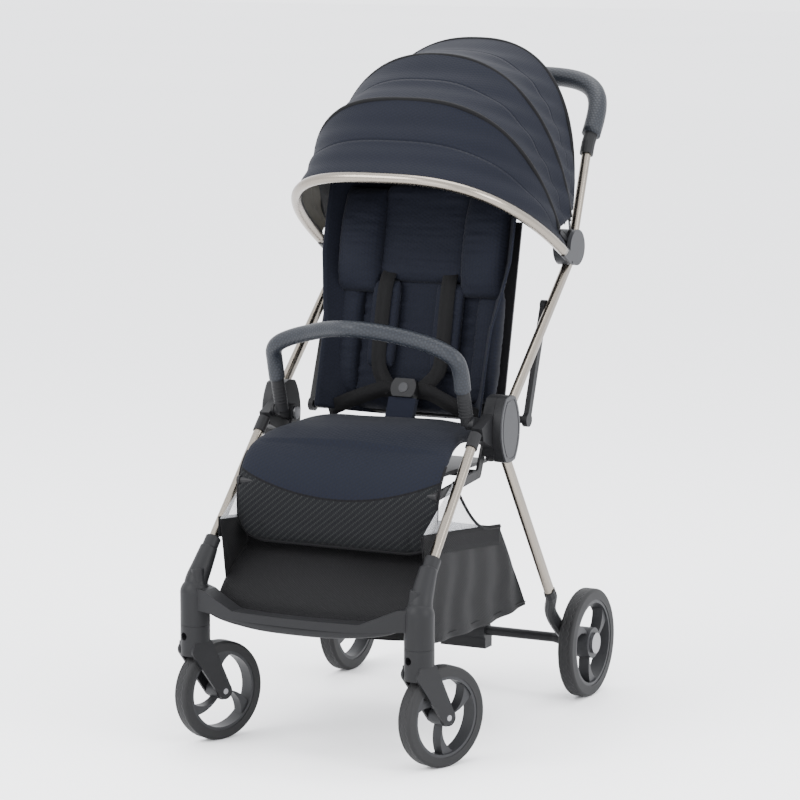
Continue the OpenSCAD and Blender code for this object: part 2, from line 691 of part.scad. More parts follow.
module seat_frame() color([0.15, 0.15, 0.16]) {
    both() difference() {
        plate(seat_plate_x, plate_t) {
            translate(hub) circle(r = 14);
            for (e = [[hub, bracket_low], [bracket_low, leg_rest_axis]]) {
                a = atan2(e[1][1] - e[0][1], e[1][0] - e[0][0]);
                polygon([polar(e[0], 7, a + 90), polar(e[1], 7, a + 90),
                         polar(e[1], 7, a - 90), polar(e[0], 7, a - 90)]);
                translate(e[1]) circle(r = 7);
            }
        }
        disc_at(hub, seat_plate_x - 1, 10, bolt_r + fit);
    }
    disc_at(leg_rest_axis, -seat_plate_x - 1, 2 * seat_plate_x + 2, 5);
    disc_at(bracket_low, -seat_plate_x - 1, 2 * seat_plate_x + 2, 6);
    translate([-seat_w + 4, hub_y - 128, bracket_low[1] + 4])
        cube([2 * seat_w - 8, 180, 6]);
}

module seat_pad() color([0.12, 0.15, 0.22]) {
    base = bracket_low[1] + 10.4;
    translate([-seat_w, hub_y - 133, base])
        cube([2 * seat_w, seat_rear - hub_y + 133, seat_top - base]);
    plate(-front_w, 2 * front_w) polygon([[hub_y - 133, seat_top], [hub_y - 133, base],
        [seat_front, base - 4], [seat_front, seat_top - 38],
        [seat_front + 9, seat_top - 20], [seat_front + 28, seat_top - 5]]);
}

// Buckle and crotch pad lean back together
module buckle_place() translate(at(0, buckle_at)) rotate([-25, 0, 0]) children();

module crotch_pad() color([0.12, 0.15, 0.22]) intersection() {
    buckle_place() translate([-24, -5, -60]) cube([48, 10, 59.6]);
    translate([-30, hub_y - 60, seat_top + 0.4]) cube([60, 200, 60]);
}

module buckle() color([0.15, 0.15, 0.16]) buckle_place() difference() {
    translate([0, 0, 15]) intersection() {
        rotate([90, 0, 0]) translate([0, 0, -9]) cylinder(r = 22, h = 18);
        cube([60, 60, 30], center = true);
    }
    translate([0, -10, 15]) rotate([-90, 0, 0]) cylinder(r = 8.2, h = 8);
}
module buckle_button() color([0.5, 0.5, 0.52]) buckle_place()
    translate([0, -9.6, 15]) rotate([-90, 0, 0]) cylinder(r = 8, h = 5);

module leg_rest() color([0.1, 0.1, 0.12]) translate([0, leg_rest_axis[0], leg_rest_axis[1]])
    difference() {
        rotate([90, 0, 0]) translate([0, 0, -11]) linear_extrude(22) intersection() {
            union() {
                translate([-front_w, 38 - leg_rest_len])
                    square([2 * front_w, leg_rest_len - 35]);
                for (m = [-1, 1]) translate([m * (front_w - 36), 38 - leg_rest_len])
                    circle(r = 36);
                translate([36 - front_w, -leg_rest_len]) square([2 * front_w - 72, 60]);
            }
            translate([0, 994 - leg_rest_len]) circle(r = 994, $fn = 180);
        }
        translate([-200, 0, 0]) rotate([0, 90, 0]) cylinder(r = 5 + fit, h = 400);
        both() translate([seat_plate_x - gap, -30, -20]) cube([30, 60, 40]);
    }

// ---- backrest: drawn upright at the origin, front face at Y = 0 -----------------

module backrest_place() translate(at(0, back_foot)) rotate([back_slope - 90, 0, 0]) children();
recline_local = let (d = recline_axis - back_foot)
    [d[0] * sin(back_slope) - d[1] * cos(back_slope),
     d[0] * cos(back_slope) + d[1] * sin(back_slope)];

module backrest_frame() color([0.15, 0.15, 0.16]) {
    disc_at(recline_axis, -push_in + 2.4, 2 * push_in - 4.8, 6);
    backrest_place() {
        translate([-seat_w + 6, back_t + 0.4, -4]) cube([2 * seat_w - 12, 4, back_len - 10]);
        both() plate(seat_w - 22, 6) polygon([recline_local + [-3, -5], recline_local + [-3, 5],
            [back_t + 2, 14], [back_t + 2, -4]]);
    }
}

module backrest_pad() color([0.12, 0.15, 0.22]) difference() {
    backrest_place() difference() {
        rotate([90, 0, 0]) translate([0, 0, -back_t]) linear_extrude(back_t) polygon([
            [-seat_w, 12], [seat_w, 12], [seat_w, 190], [front_w - 4, 240],
            [front_w - 12, back_len], [-front_w + 12, back_len], [-front_w + 4, 240],
            [-seat_w, 190]]);
        both() translate([seat_w - 23, recline_local[0] - 12, 0]) cube([8, 40, 30]);
    }
    // the buckle passes through here as the backrest folds over the seat
    disc_at(hub, -27, 54, 92);
}

module shoulder_pads() color([0.12, 0.15, 0.22]) both() backrest_place()
    translate([34, -12.4, 60]) cube([44, 12, 150]);

// ---- bumper -----------------------------------------------------------------

bumper_half = [for (p = [[0, -1.2, 4], [0, -7, 27], [3, -15, 46], [16, -21, 59],
    [42, -24, 70], [75, -31, 79], [115, -46, 88]]) [bumper_x - p[0], p[1], p[2]]];
bumper_points = concat(bumper_half, [[0, -60, 93]],
    [for (i = [6:-1:0]) [-bumper_half[i][0], bumper_half[i][1], bumper_half[i][2]]]);
bumper_path = [for (p = spline(bumper_points, 3)) p + at(0, bumper_top)];
bumper_axis = [0, cos(bumper_tilt), sin(bumper_tilt)];

module bumper_arms() color([0.12, 0.12, 0.13]) both() difference() {
    union() {
        plate(bumper_plate_x, plate_t) {
            translate(hub) circle(r = 14);
            translate(bumper_base) circle(r = 11);
            polygon([hub + [0, 12], bumper_base + [0, 10], bumper_base - [0, 10], hub - [0, 12]]);
        }
        rod(at(bumper_x, bumper_base), at(bumper_x, bumper_top) - 0.3 * bumper_axis, 10.4);
        disc_at(bumper_base, bumper_x, bumper_plate_x - bumper_x + 1, 9.6);
    }
    disc_at(hub, bumper_plate_x - 1, 10, bolt_r + fit);
}

module bumper_bar() color([0.2, 0.24, 0.3])
    sweep(concat([at(bumper_x, bumper_top)], bumper_path, [at(-bumper_x, bumper_top)]),
        [0, -0.95, 0.3], bumper_r, bumper_r, 14);

// ---- drawing ----------------------------------------------------------------

hub_housings();
hub_bolts();
front_legs();
footboard();
basket();
basket_panels();
rear_knuckles();
rear_legs();
rear_brackets();
crossbar();
rear_axles();
brake_housing();
brake_pedal();
brake_pin_left();
brake_pin_right();
rear_tyre_left();
rear_tyre_right();
rear_rim_left();
rear_rim_right();
caster_fork_left();
caster_fork_right();
front_axle_left();
front_axle_right();
front_tyre_left();
front_tyre_right();
front_rim_left();
front_rim_right();
push_tubes();
push_knuckles();
hub_covers();
back_hinges();
canopy_pivots();
handle_collars();
handle_grip();
fold_housing();
fold_slider();
canopy_hoop_rear();
canopy_back();
canopy_hoop_middle();
canopy_hoop_front();
canopy_bow();
bow_knuckles();
canopy_washer_rear();
canopy_washer_middle();
canopy_washer_front();
canopy_panel_rear();
canopy_panel_middle();
canopy_panel_front();
seat_frame();
seat_pad();
crotch_pad();
buckle();
buckle_button();
leg_rest();
backrest_frame();
backrest_pad();
shoulder_pads();
bumper_arms();
bumper_bar();
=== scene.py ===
# %% [markdown]
# # Folding stroller
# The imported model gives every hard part, joint and size. This script sets the camera and the
# light, gives each part its finish, and makes the cloth, padding, grips and straps.

# %%
import json
import math

import bpy
import numpy as np
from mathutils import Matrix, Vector, noise

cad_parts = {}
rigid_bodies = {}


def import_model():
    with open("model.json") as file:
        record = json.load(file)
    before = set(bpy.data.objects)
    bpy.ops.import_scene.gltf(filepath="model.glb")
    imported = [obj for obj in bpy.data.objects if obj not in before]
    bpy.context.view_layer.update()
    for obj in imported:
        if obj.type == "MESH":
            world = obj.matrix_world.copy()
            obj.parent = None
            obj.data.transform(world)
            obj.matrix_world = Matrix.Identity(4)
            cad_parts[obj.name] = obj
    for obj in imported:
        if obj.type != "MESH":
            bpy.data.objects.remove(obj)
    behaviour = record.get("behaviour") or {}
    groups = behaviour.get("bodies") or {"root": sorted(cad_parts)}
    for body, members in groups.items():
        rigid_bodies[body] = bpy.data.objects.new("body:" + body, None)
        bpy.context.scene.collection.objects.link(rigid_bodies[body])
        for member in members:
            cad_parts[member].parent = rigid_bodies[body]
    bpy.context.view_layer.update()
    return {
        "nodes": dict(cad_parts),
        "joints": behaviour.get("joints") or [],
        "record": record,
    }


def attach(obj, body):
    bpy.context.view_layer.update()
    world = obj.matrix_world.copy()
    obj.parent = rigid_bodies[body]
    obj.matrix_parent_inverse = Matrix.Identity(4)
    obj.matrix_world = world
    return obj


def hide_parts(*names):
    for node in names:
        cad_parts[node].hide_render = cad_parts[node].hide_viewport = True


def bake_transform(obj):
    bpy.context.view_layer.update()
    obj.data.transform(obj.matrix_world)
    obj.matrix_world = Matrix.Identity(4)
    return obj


# %%
for o in list(bpy.data.objects):
    bpy.data.objects.remove(o)
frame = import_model()
nodes = frame["nodes"]
scene = bpy.context.scene

# %% [markdown]
# ## Camera
# A long lens from the child's left, a little above the seat.

# %%
AZ, EL, DIST = math.radians(26.7), math.radians(8.5), 5.410
back = Vector((math.sin(AZ) * math.cos(EL), -math.cos(AZ) * math.cos(EL), math.sin(EL)))
cam = bpy.data.objects.new("camera", bpy.data.cameras.new("camera"))
scene.collection.objects.link(cam)
cam.data.lens = 154.15
cam.location = Vector((0, -0.020, 0.5055)) + back * DIST
cam.rotation_euler = back.to_track_quat("Z", "Y").to_euler()
scene.camera = cam

# %% [markdown]
# ## Light and floor

# %%
def lamp(name, at, to, size, power, color=(1, 1, 1)):
    o = bpy.data.objects.new(name, bpy.data.lights.new(name, "AREA"))
    o.data.size, o.data.energy, o.data.color = size, power, color
    o.location = at
    o.rotation_euler = (Vector(at) - Vector(to)).to_track_quat("Z", "Y").to_euler()
    scene.collection.objects.link(o)

lamp("key", (-1.8, -3.2, 3.0), (0, 0, 0.5), 2.2, 190)
lamp("side", (3.4, -0.6, 1.8), (0, 0, 0.6), 1.6, 110)
lamp("low_front", (0.6, -4.2, 0.9), (0, 0, 0.5), 2.4, 70)
lamp("top", (0.2, 0.6, 3.4), (0, 0, 0.6), 2.2, 90)
world = bpy.data.worlds.new("world")
scene.world = world
world.use_nodes = True
world.node_tree.nodes["Background"].inputs[0].default_value = (0.96, 0.97, 1.0, 1)
world.node_tree.nodes["Background"].inputs[1].default_value = 3.0

# %% [markdown]
# ## Shader writing
# `S` wraps a socket so that patterns are written as plain arithmetic.

# %%
class S:
    def __init__(self, tree, socket):
        self.tree, self.socket = tree, socket

    def math(self, op, *others):
        n = self.tree.nodes.new("ShaderNodeMath")
        n.operation = op
        for i, v in enumerate((self,) + others):
            if isinstance(v, S):
                self.tree.links.new(v.socket, n.inputs[i])
            else:
                n.inputs[i].default_value = v
        return S(self.tree, n.outputs[0])

    def __add__(self, v): return self.math("ADD", v)
    def __sub__(self, v): return self.math("SUBTRACT", v)
    def __mul__(self, v): return self.math("MULTIPLY", v)
    def __truediv__(self, v): return self.math("DIVIDE", v)
    def __gt__(self, v): return self.math("GREATER_THAN", v)
    def __lt__(self, v): return self.math("LESS_THAN", v)
    __radd__, __rmul__ = __add__, __mul__

    def sin(self): return self.math("SINE")
    def cos(self): return self.math("COSINE")
    def abs(self): return self.math("ABSOLUTE")
    def clamp(self): return self.math("MAXIMUM", 0.0).math("MINIMUM", 1.0)
    def ramp(self, a, b): return ((self - a) / (b - a)).clamp()


class Finish:
    """One material: .xyz and .uv are coordinates in metres, .set(...) fills the shader."""

    def __init__(self, name):
        self.m = bpy.data.materials.new(name)
        self.m.use_nodes = True
        self.tree = self.m.node_tree
        self.b = self.tree.nodes["Principled BSDF"]
        c = self.node("ShaderNodeTexCoord")
        self.object = c.outputs["Object"]
        self.x, self.y, self.z = self.split(self.object)
        self.u, self.v, _ = self.split(c.outputs["UV"])

    def node(self, kind, **values):
        n = self.tree.nodes.new(kind)
        for k, v in values.items():
            setattr(n, k, v)
        return n

    def split(self, socket):
        n = self.node("ShaderNodeSeparateXYZ")
        self.tree.links.new(socket, n.inputs[0])
        return [S(self.tree, o) for o in n.outputs]

    def noise(self, scale, detail=3.0, stretch=(1, 1, 1), rough=0.5):
        m = self.node("ShaderNodeMapping")
        self.tree.links.new(self.object, m.inputs[0])
        m.inputs["Scale"].default_value = stretch
        n = self.node("ShaderNodeTexNoise")
        self.tree.links.new(m.outputs[0], n.inputs["Vector"])
        n.inputs["Scale"].default_value = scale
        n.inputs["Detail"].default_value = detail
        n.inputs["Roughness"].default_value = rough
        return S(self.tree, n.outputs["Fac"])

    def mix(self, f, a, b):
        n = self.node("ShaderNodeMix", data_type="RGBA")
        for i, v in ((0, f), (6, a), (7, b)):
            if isinstance(v, (S, bpy.types.NodeSocket)):
                self.tree.links.new(getattr(v, "socket", v), n.inputs[i])
            else:
                n.inputs[i].default_value = v if i == 0 else (*v, 1)
        return n.outputs[2]

    def put(self, name, v):
        if isinstance(v, (S, bpy.types.NodeSocket)):
            self.tree.links.new(getattr(v, "socket", v), self.b.inputs[name])
        else:
            self.b.inputs[name].default_value = v if isinstance(v, (int, float)) else (*v, 1)

    def set(self, color, rough, metal=0.0, height=None, depth=0.0005, strength=1.0, **more):
        self.put("Base Color", color)
        self.put("Roughness", rough)
        self.put("Metallic", metal)
        for k, v in more.items():
            self.put(k.replace("_", " "), v)
        if height is not None:
            n = self.node("ShaderNodeBump")
            n.inputs["Distance"].default_value = depth
            n.inputs["Strength"].default_value = strength
            self.tree.links.new(height.socket, n.inputs["Height"])
            self.tree.links.new(n.outputs[0], self.b.inputs["Normal"])
        return self.m


def hexdots(f, pitch):
    k = 2 * math.pi / pitch
    a, b = f.u * k, f.v * (k * 0.866)
    return ((a.cos() + (a * 0.5 + b).cos() + (a * 0.5 - b).cos()) / 3.0).ramp(-0.4, 0.8)

# %% [markdown]
# ## Finishes
# Each hard finish varies a little over its surface: wear, mould grain, brushing.

# %%
def plastic(name, color, rough, grain=1.0, light=1.5):
    f = Finish(name)
    big, fine = f.noise(9, 4), f.noise(900, 2)
    bright = tuple(min(1, c * light) for c in color)
    f.put("Specular IOR Level", 0.14)
    return f.set(f.mix(big.ramp(0.25, 0.8), color, bright), (big * 0.16 + fine * 0.08) + (rough - 0.12),
                 height=fine * grain, depth=0.00012, strength=0.35)


def metal(name, color, rough, stretch=(1, 1, 1)):
    f = Finish(name)
    big, fine = f.noise(6, 3), f.noise(300, 3, stretch)
    dark = tuple(c * 0.86 for c in color)
    return f.set(f.mix(big.ramp(0.3, 0.7), dark, color), (fine * 0.10 + big * 0.06) + (rough - 0.08), 1.0,
                 height=fine, depth=0.00004, strength=0.3)


def cloth(name, color, pitch, second=None, rough=0.82, depth=0.0004, wrinkle=0.5, sheen=0.02):
    f = Finish(name)
    dots, big, crease = hexdots(f, pitch), f.noise(7, 4), f.noise(26, 5, (1, 1.6, 1.6))
    base = f.mix(big.ramp(0.25, 0.75), tuple(c * 0.82 for c in color), color)
    c = f.mix(dots, tuple(v * 0.62 for v in color), base)
    m = f.set(second(f, c) if second else c, dots * 0.12 + (rough - 0.06),
              height=dots * 0.8 + crease * wrinkle, depth=depth, strength=0.7)
    f.put("Sheen Weight", sheen)
    f.put("Specular IOR Level", 0.10)
    f.b.inputs["Sheen Roughness"].default_value = 0.5
    return m


def knit_below_seam(f, c):
    """Below the curved seam the leg rest is black with fine slanting stripes."""
    stripe = ((f.u * 0.62 + f.v * 0.79) * (2 * math.pi / 0.0075)).sin().ramp(0.1, 0.9)
    broken = ((f.u * 0.79 - f.v * 0.62) * (2 * math.pi / 0.0032)).sin().ramp(-0.6, 0.4)
    knit = f.mix(stripe * broken * 0.75, (0.0030, 0.0034, 0.0042), (0.016, 0.017, 0.0165))
    line = f.z - ((f.x * f.x) * 1.22 + 0.381)
    seam = line.abs().ramp(0.0010, 0.0022)
    return f.mix(seam, (0.0015, 0.0015, 0.002), f.mix(line > 0.0, knit, c))


NAVY = (0.0052, 0.0064, 0.0118)
navy = cloth("navy_cloth", NAVY, 0.0052)
navy_seat = cloth("navy_seat", (0.0048, 0.0062, 0.0118), 0.0056, knit_below_seam)
lining = cloth("lining_cloth", (0.060, 0.055, 0.043), 0.0030, rough=0.7, wrinkle=1.6, depth=0.0009)
black_cloth = cloth("black_cloth", (0.0040, 0.0040, 0.0046), 0.0026, rough=0.62, wrinkle=1.5, depth=0.0008)
black_knit = cloth("black_knit", (0.0048, 0.0048, 0.0055), 0.0036, rough=0.9, depth=0.0005)
webbing = cloth("webbing", (0.0035, 0.0035, 0.0040), 0.0022, rough=0.75)
piping = cloth("piping", (0.0026, 0.0026, 0.0034), 0.0020, rough=0.7)


def leatherette():
    f = Finish("grip_leather")
    f.put("Specular IOR Level", 0.25)
    dots, grain = hexdots(f, 0.0048), f.noise(260, 4)
    return f.set(f.mix(dots, (0.0040, 0.0052, 0.0080), (0.0085, 0.0112, 0.0160)), grain * 0.12 + 0.40,
                 height=dots * 0.7 + grain * 0.3, depth=0.0005, strength=0.7)


def tread():
    f = Finish("tyre_rubber")
    f.put("Specular IOR Level", 0.2)
    bend = (f.u * (2 * math.pi / 0.012)).sin() * 0.0016
    line = ((f.v.abs() - bend) - 0.0050).abs().ramp(0.0004, 0.0016)
    big = f.noise(14, 4)
    rubber = f.mix(big.ramp(0.2, 0.8), (0.0055, 0.0055, 0.0060), (0.0100, 0.0100, 0.0104))
    return f.set(rubber, big * 0.2 + 0.52, height=line, depth=0.0009, strength=0.8)


def mesh_net():
    f = Finish("net")
    k = 2 * math.pi / 0.0042
    holes = ((f.u * k).sin() * (f.v * k).sin()).abs()
    m = f.set(f.mix(holes, (0.30, 0.305, 0.32), (0.50, 0.51, 0.53)), 0.7)
    f.put("Alpha", (holes < 0.5) * 0.8 + 0.15)
    return m


SLOT = {
    "satin_tube": metal("satin_tube", (0.215, 0.192, 0.163), 0.27, (1, 1, 0.05)),
    "black_tube": plastic("black_tube", (0.0060, 0.0060, 0.0066), 0.42),
    "black_plastic": plastic("black_plastic", (0.0056, 0.0057, 0.0063), 0.50),
    "grey_plastic": plastic("grey_plastic", (0.017, 0.0174, 0.0190), 0.42),
    "wheel_plastic": plastic("wheel_plastic", (0.0150, 0.0153, 0.0165), 0.45),
    "tyre": tread(),
    "steel": metal("steel", (0.22, 0.22, 0.23), 0.32),
    "grip": leatherette(),
    "navy_cloth": navy,
    "black_cloth": black_cloth,
}
for entry in frame["record"]["subparts"]:
    me = nodes[entry["node"]].data
    me.materials.clear()
    me.materials.append(SLOT[entry["material_slot"]])


# %% [markdown]
# ## Building blocks
# Grids, tubes and padded strips, with UV in metres so that every weave keeps its scale.

# %%
def make(name, verts, faces, uvs, material, body, sharp=60):
    me = bpy.data.meshes.new(name)
    me.from_pydata([tuple(v) for v in verts], [], faces)
    layer = me.uv_layers.new(name="UVMap")
    for loop in me.loops:
        layer.data[loop.index].uv = uvs[loop.vertex_index]
    me.materials.append(material)
    me.shade_smooth()
    o = bpy.data.objects.new(name, me)
    scene.collection.objects.link(o)
    if body:
        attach(o, body)
    return o


def surface(name, f, nu, nv, material, body, thick=0.0):
    """A sheet f(s, t) over 0..1, thickened to a closed solid."""
    p = np.array([[f(i / nu, j / nv) for j in range(nv + 1)] for i in range(nu + 1)], float)
    du = np.linalg.norm(np.diff(p, axis=0), axis=2).mean(1)
    dv = np.linalg.norm(np.diff(p, axis=1), axis=2).max(0)
    us, vs = np.concatenate([[0], du.cumsum()]), np.concatenate([[0], dv.cumsum()])
    W = nv + 1
    verts, uvs = p.reshape(-1, 3), [(a, b) for a in us for b in vs]
    faces = [(i * W + j, i * W + j + 1, (i + 1) * W + j + 1, (i + 1) * W + j)
             for i in range(nu) for j in range(nv)]
    if thick:
        gu, gv = np.gradient(p, axis=0), np.gradient(p, axis=1)
        n = np.cross(gv, gu)
        n /= np.maximum(np.linalg.norm(n, axis=2, keepdims=True), 1e-9)
        k = len(verts)
        verts = np.concatenate([verts, (p - n * thick).reshape(-1, 3)])
        uvs = uvs + uvs
        faces += [tuple(k + a for a in reversed(q)) for q in faces]
        edge = ([i * W for i in range(nu + 1)] + [nu * W + j for j in range(1, W)]
                + [i * W + nv for i in range(nu - 1, -1, -1)] + [j for j in range(nv - 1, 0, -1)])
        faces += [(a, b, k + b, k + a) for a, b in zip(edge, edge[1:] + edge[:1])]
    o = make(name, verts, faces, uvs, material, body)
    step_u = np.linalg.norm(np.diff(p, axis=0), axis=2).sum(0).max()
    step_v = np.linalg.norm(np.diff(p, axis=1), axis=2).sum(1).max()
    a, b = p[1:, 1:] - p[:-1, :-1], p[:-1, 1:] - p[1:, :-1]
    o["cut"] = (float(step_u), float(step_v), float(np.linalg.norm(np.cross(a, b), axis=2).sum() / 2))
    return o


def cut_sheet(o, slot, held, *rests_on):
    """Reads the size a sheet was cut to and takes the smaller of its area and width times length; the result
    is not kept.
    """
    w, l, area = o["cut"]
    min(area, w * l)


def tube(name, path, radius, material, body, sides=20, flat=1.0, up=None, ripple=None):
    """A closed tube along a path; flat squeezes it along up."""
    p = np.array(path, float)
    t = np.gradient(p, axis=0)
    t /= np.linalg.norm(t, axis=1, keepdims=True)
    ref = np.array(up if up is not None else (0, 0, 1.0), float)
    length = np.concatenate([[0], np.linalg.norm(np.diff(p, axis=0), axis=1).cumsum()])
    verts, uvs = [], []
    side = np.cross(t[0], ref)
    if np.linalg.norm(side) < 1e-3:
        side = np.cross(t[0], (1, 0, 0))
    for i in range(len(p)):
        side = side - t[i] * side.dot(t[i]) if up is None else np.cross(t[i], ref)
        side /= np.linalg.norm(side)
        w = np.cross(side, t[i])
        r = radius * (ripple(length[i]) if ripple else 1.0)
        for k in range(sides):
            a = 2 * math.pi * k / sides
            verts.append(p[i] + r * (math.cos(a) * side + flat * math.sin(a) * w))
            uvs.append((length[i], radius * a))
    faces = [(i * sides + k, i * sides + (k + 1) % sides, (i + 1) * sides + (k + 1) % sides,
              (i + 1) * sides + k) for i in range(len(p) - 1) for k in range(sides)]
    faces += [tuple(range(sides))[::-1], tuple((len(p) - 1) * sides + k for k in range(sides))]
    return make(name, verts, faces, uvs, material, body)


def curve(points, steps=10):
    """Catmull-Rom through the points."""
    p = [Vector(q) for q in points]
    out = []
    for i in range(len(p) - 1):
        a, b, c, d = p[max(i - 1, 0)], p[i], p[i + 1], p[min(i + 2, len(p) - 1)]
        for k in range(steps):
            t = k / steps
            out.append(0.5 * (2 * b + (c - a) * t + (2 * a - 5 * b + 4 * c - d) * t * t
                              + (3 * b - a - 3 * c + d) * t ** 3))
    return out + [p[-1]]


def look_up(keys, s):
    """Linear look-up in a short list of (place, value)."""
    return float(np.interp(s, [k[0] for k in keys], [k[1] for k in keys]))


def strip(name, path, width, thick, material, body, power=4.5, around=72, puff=None, dent=None):
    """A padded strip along a side-view path [(y, z)], width and thick given as functions of 0..1."""
    c = [Vector((0, q[0], q[1])) for q in path]
    t = [(c[min(i + 1, len(c) - 1)] - c[max(i - 1, 0)]).normalized() for i in range(len(c))]
    n = [Vector((0, -a.z, a.y)) for a in t]
    total = sum((b - a).length for a, b in zip(c, c[1:]))
    verts, uvs, s = [], [], 0.0
    for i in range(len(c)):
        if i:
            s += (c[i] - c[i - 1]).length
        w, h = width(s / total), thick(s / total) / 2
        for k in range(around):
            a = 2 * math.pi * k / around
            ca, sa = math.cos(a), math.sin(a)
            x = w * math.copysign(abs(ca) ** (2 / power), ca)
            d = h * math.copysign(abs(sa) ** (2 / 2.6), sa)
            q = c[i] + Vector((x, 0, 0)) + n[i] * d
            if puff:
                q += n[i] * puff(x, s, d > 0)
            verts.append(q)
            uvs.append((x + (0.4 if sa < 0 else 0), s))
    faces = [(i * around + k, i * around + (k + 1) % around, (i + 1) * around + (k + 1) % around,
              (i + 1) * around + k) for i in range(len(c) - 1) for k in range(around)]
    faces += [tuple(range(around))[::-1],
              tuple((len(c) - 1) * around + k for k in range(around))]
    return make(name, verts, faces, uvs, material, body)


def wob(x, y, z, scale, amount):
    return amount * noise.noise(Vector((x, y, z)) * scale)

# %% [markdown]
# ## Canopy
# The hoops follow the same curves as the imported ones. Each panel is two halves that meet in the
# crease.

# %%
HUB = Vector((0, -0.057, 0.479))


def polar(o, r, a):
    return Vector((0, o.y + r * math.cos(math.radians(a)), o.z + r * math.sin(math.radians(a))))


PIVOT = polar(HUB, 0.346, 49)
REAR = (72.3, 0.316, 0.2060, 2.4, -0.009, 0.0196)
MIDDLE = (101.2, 0.2925, 0.2115, 2.3, -0.0043, 0.014)
FRONT = (121.4, 0.2843, 0.2090, 2.7, -0.026, -0.0055)
BOW = (150.9, 0.3242, 0.2180, 2.9, 0.0131, -0.0351)
LOOP = (52.6, 0.133, 0.189, 4.5, 0.10904, 0.15400)


def hoop(h, t):
    c, s = math.cos(math.radians(t)), math.sin(math.radians(t))
    r = h[1] * max(s, 0) ** (2 / h[3])
    x = math.copysign(h[2] * abs(c) ** (2 / h[3]), c)
    d = math.radians(h[0])
    return PIVOT + Vector((x, h[4] + r * math.cos(d), h[5] + r * math.sin(d)))


def along(h, a, b, n):
    return [hoop(h, a + (b - a) * i / n) for i in range(n + 1)]


def out_from_pivot(p):
    return (p - Vector((p.x * 0.55, PIVOT.y, PIVOT.z))).normalized()


def panel(name, a, b, lo, hi, material, body, lift, sag, thick=0.0016, t0=5, nu=120, nv=14):
    def f(s, v):
        t = t0 + (180 - 2 * t0) * s
        v = lo + (hi - lo) * v
        p = hoop(a, t).lerp(hoop(b, t), v)
        side = math.sin(math.radians(t)) ** 0.7
        dip = sag * math.sin(math.pi * v) * side
        ruck = 0.0032 * (1 - side) + 0.0009
        return p + out_from_pivot(p) * (lift - dip + wob(p.x, p.y, p.z, 14, ruck * 1.6)
                                        + ruck * math.sin(p.z * 160 + p.y * 60) * math.sin(math.pi * v))
    return surface(name, f, nu, nv, material, body, thick)


PANELS = (("rear", REAR, MIDDLE, "push_bar", "canopy_fold_rear", "canopy_middle"),
          ("middle", MIDDLE, FRONT, "canopy_middle", "canopy_fold_middle", "canopy_front"),
          ("front", FRONT, BOW, "canopy_front", "canopy_fold_front", "canopy_bow"))
NEXT = {"rear": "canopy_hoop_middle", "middle": "canopy_hoop_front", "front": "canopy_bow"}
for key, a, b, body_a, crease, body_b in PANELS:
    tip_a, tip_b = hoop(a, 90), hoop(b, 90)
    mid = (tip_a + tip_b) / 2
    for part, lo, hi, pair, ends in (("a", 0, 0.5, (body_a, crease), (tip_a, mid)),
                                     ("b", 0.5, 1, (crease, body_b), (mid, tip_b))):
        o = panel(f"canopy_{key}_{part}", a, b, lo, hi, navy, None, 0.0022, 0.007)
        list(pair)
        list(ends)
        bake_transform(o)
        sewn = "canopy_hoop_" + key if part == "a" else NEXT[key]
        cut_sheet(o, "navy_cloth", "stretched", sewn)
        if part == "a":
            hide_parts("canopy_panel_" + key)
        inner = panel(f"canopy_{key}_lining_{part}", a, b, lo, hi,
                      lining if key == "front" else black_cloth, None, -0.0022, 0.008)
        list(pair)
        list(ends)
        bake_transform(inner)
        cut_sheet(inner, "black_cloth", "stretched", sewn)

for key, h, body, r in (("rear", REAR, "push_bar", 0.0042), ("middle", MIDDLE, "canopy_middle", 0.0042),
                        ("front", FRONT, "canopy_front", 0.0042)):
    o = tube(f"canopy_piping_{key}", [p + out_from_pivot(p) * 0.001 for p in along(h, 5, 175, 110)], r,
             piping, body, 14)

bow_normal = (0, -math.sin(math.radians(150.9)), math.cos(math.radians(150.9)))
bow = tube("canopy_bow_tube", along(BOW, 6, 174, 140), 0.0081, SLOT["satin_tube"], "canopy_bow", 24,
           up=bow_normal, flat=1.0)
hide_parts("canopy_bow")
binding = tube("bow_binding", [p - out_from_pivot(p) * 0.0008 + Vector((0, 0.007, 0.002))
                               for p in along(BOW, 8, 172, 120)], 0.0058, piping, "canopy_bow", 14)

LOW_BACK = (84, 0.098, 0.1978, 3.4, 0, 0.012)
back_drop = surface("canopy_back_cloth", lambda s, v: (lambda t: (lambda p: p + Vector((
    0, wob(p.x, p.y, p.z, 12, 0.004) - 0.010 * math.sin(math.pi * v), 0)))(
        hoop(REAR, t).lerp(hoop(LOW_BACK, t), v)))(5 + 170 * s), 100, 20, navy, "push_bar", 0.0016)
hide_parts("canopy_back")
cut_sheet(back_drop, "navy_cloth", "hung", "canopy_hoop_rear")

# %% [markdown]
# ## Handle and bumper bar

# %%
grip_path = along(LOOP, 0.9, 179.1, 160)
grip = tube("handle_sleeve", grip_path, 0.0155, SLOT["grip"], "push_bar", 28,
            up=(0, -math.sin(math.radians(52.6)), math.cos(math.radians(52.6))))
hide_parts("handle_grip")

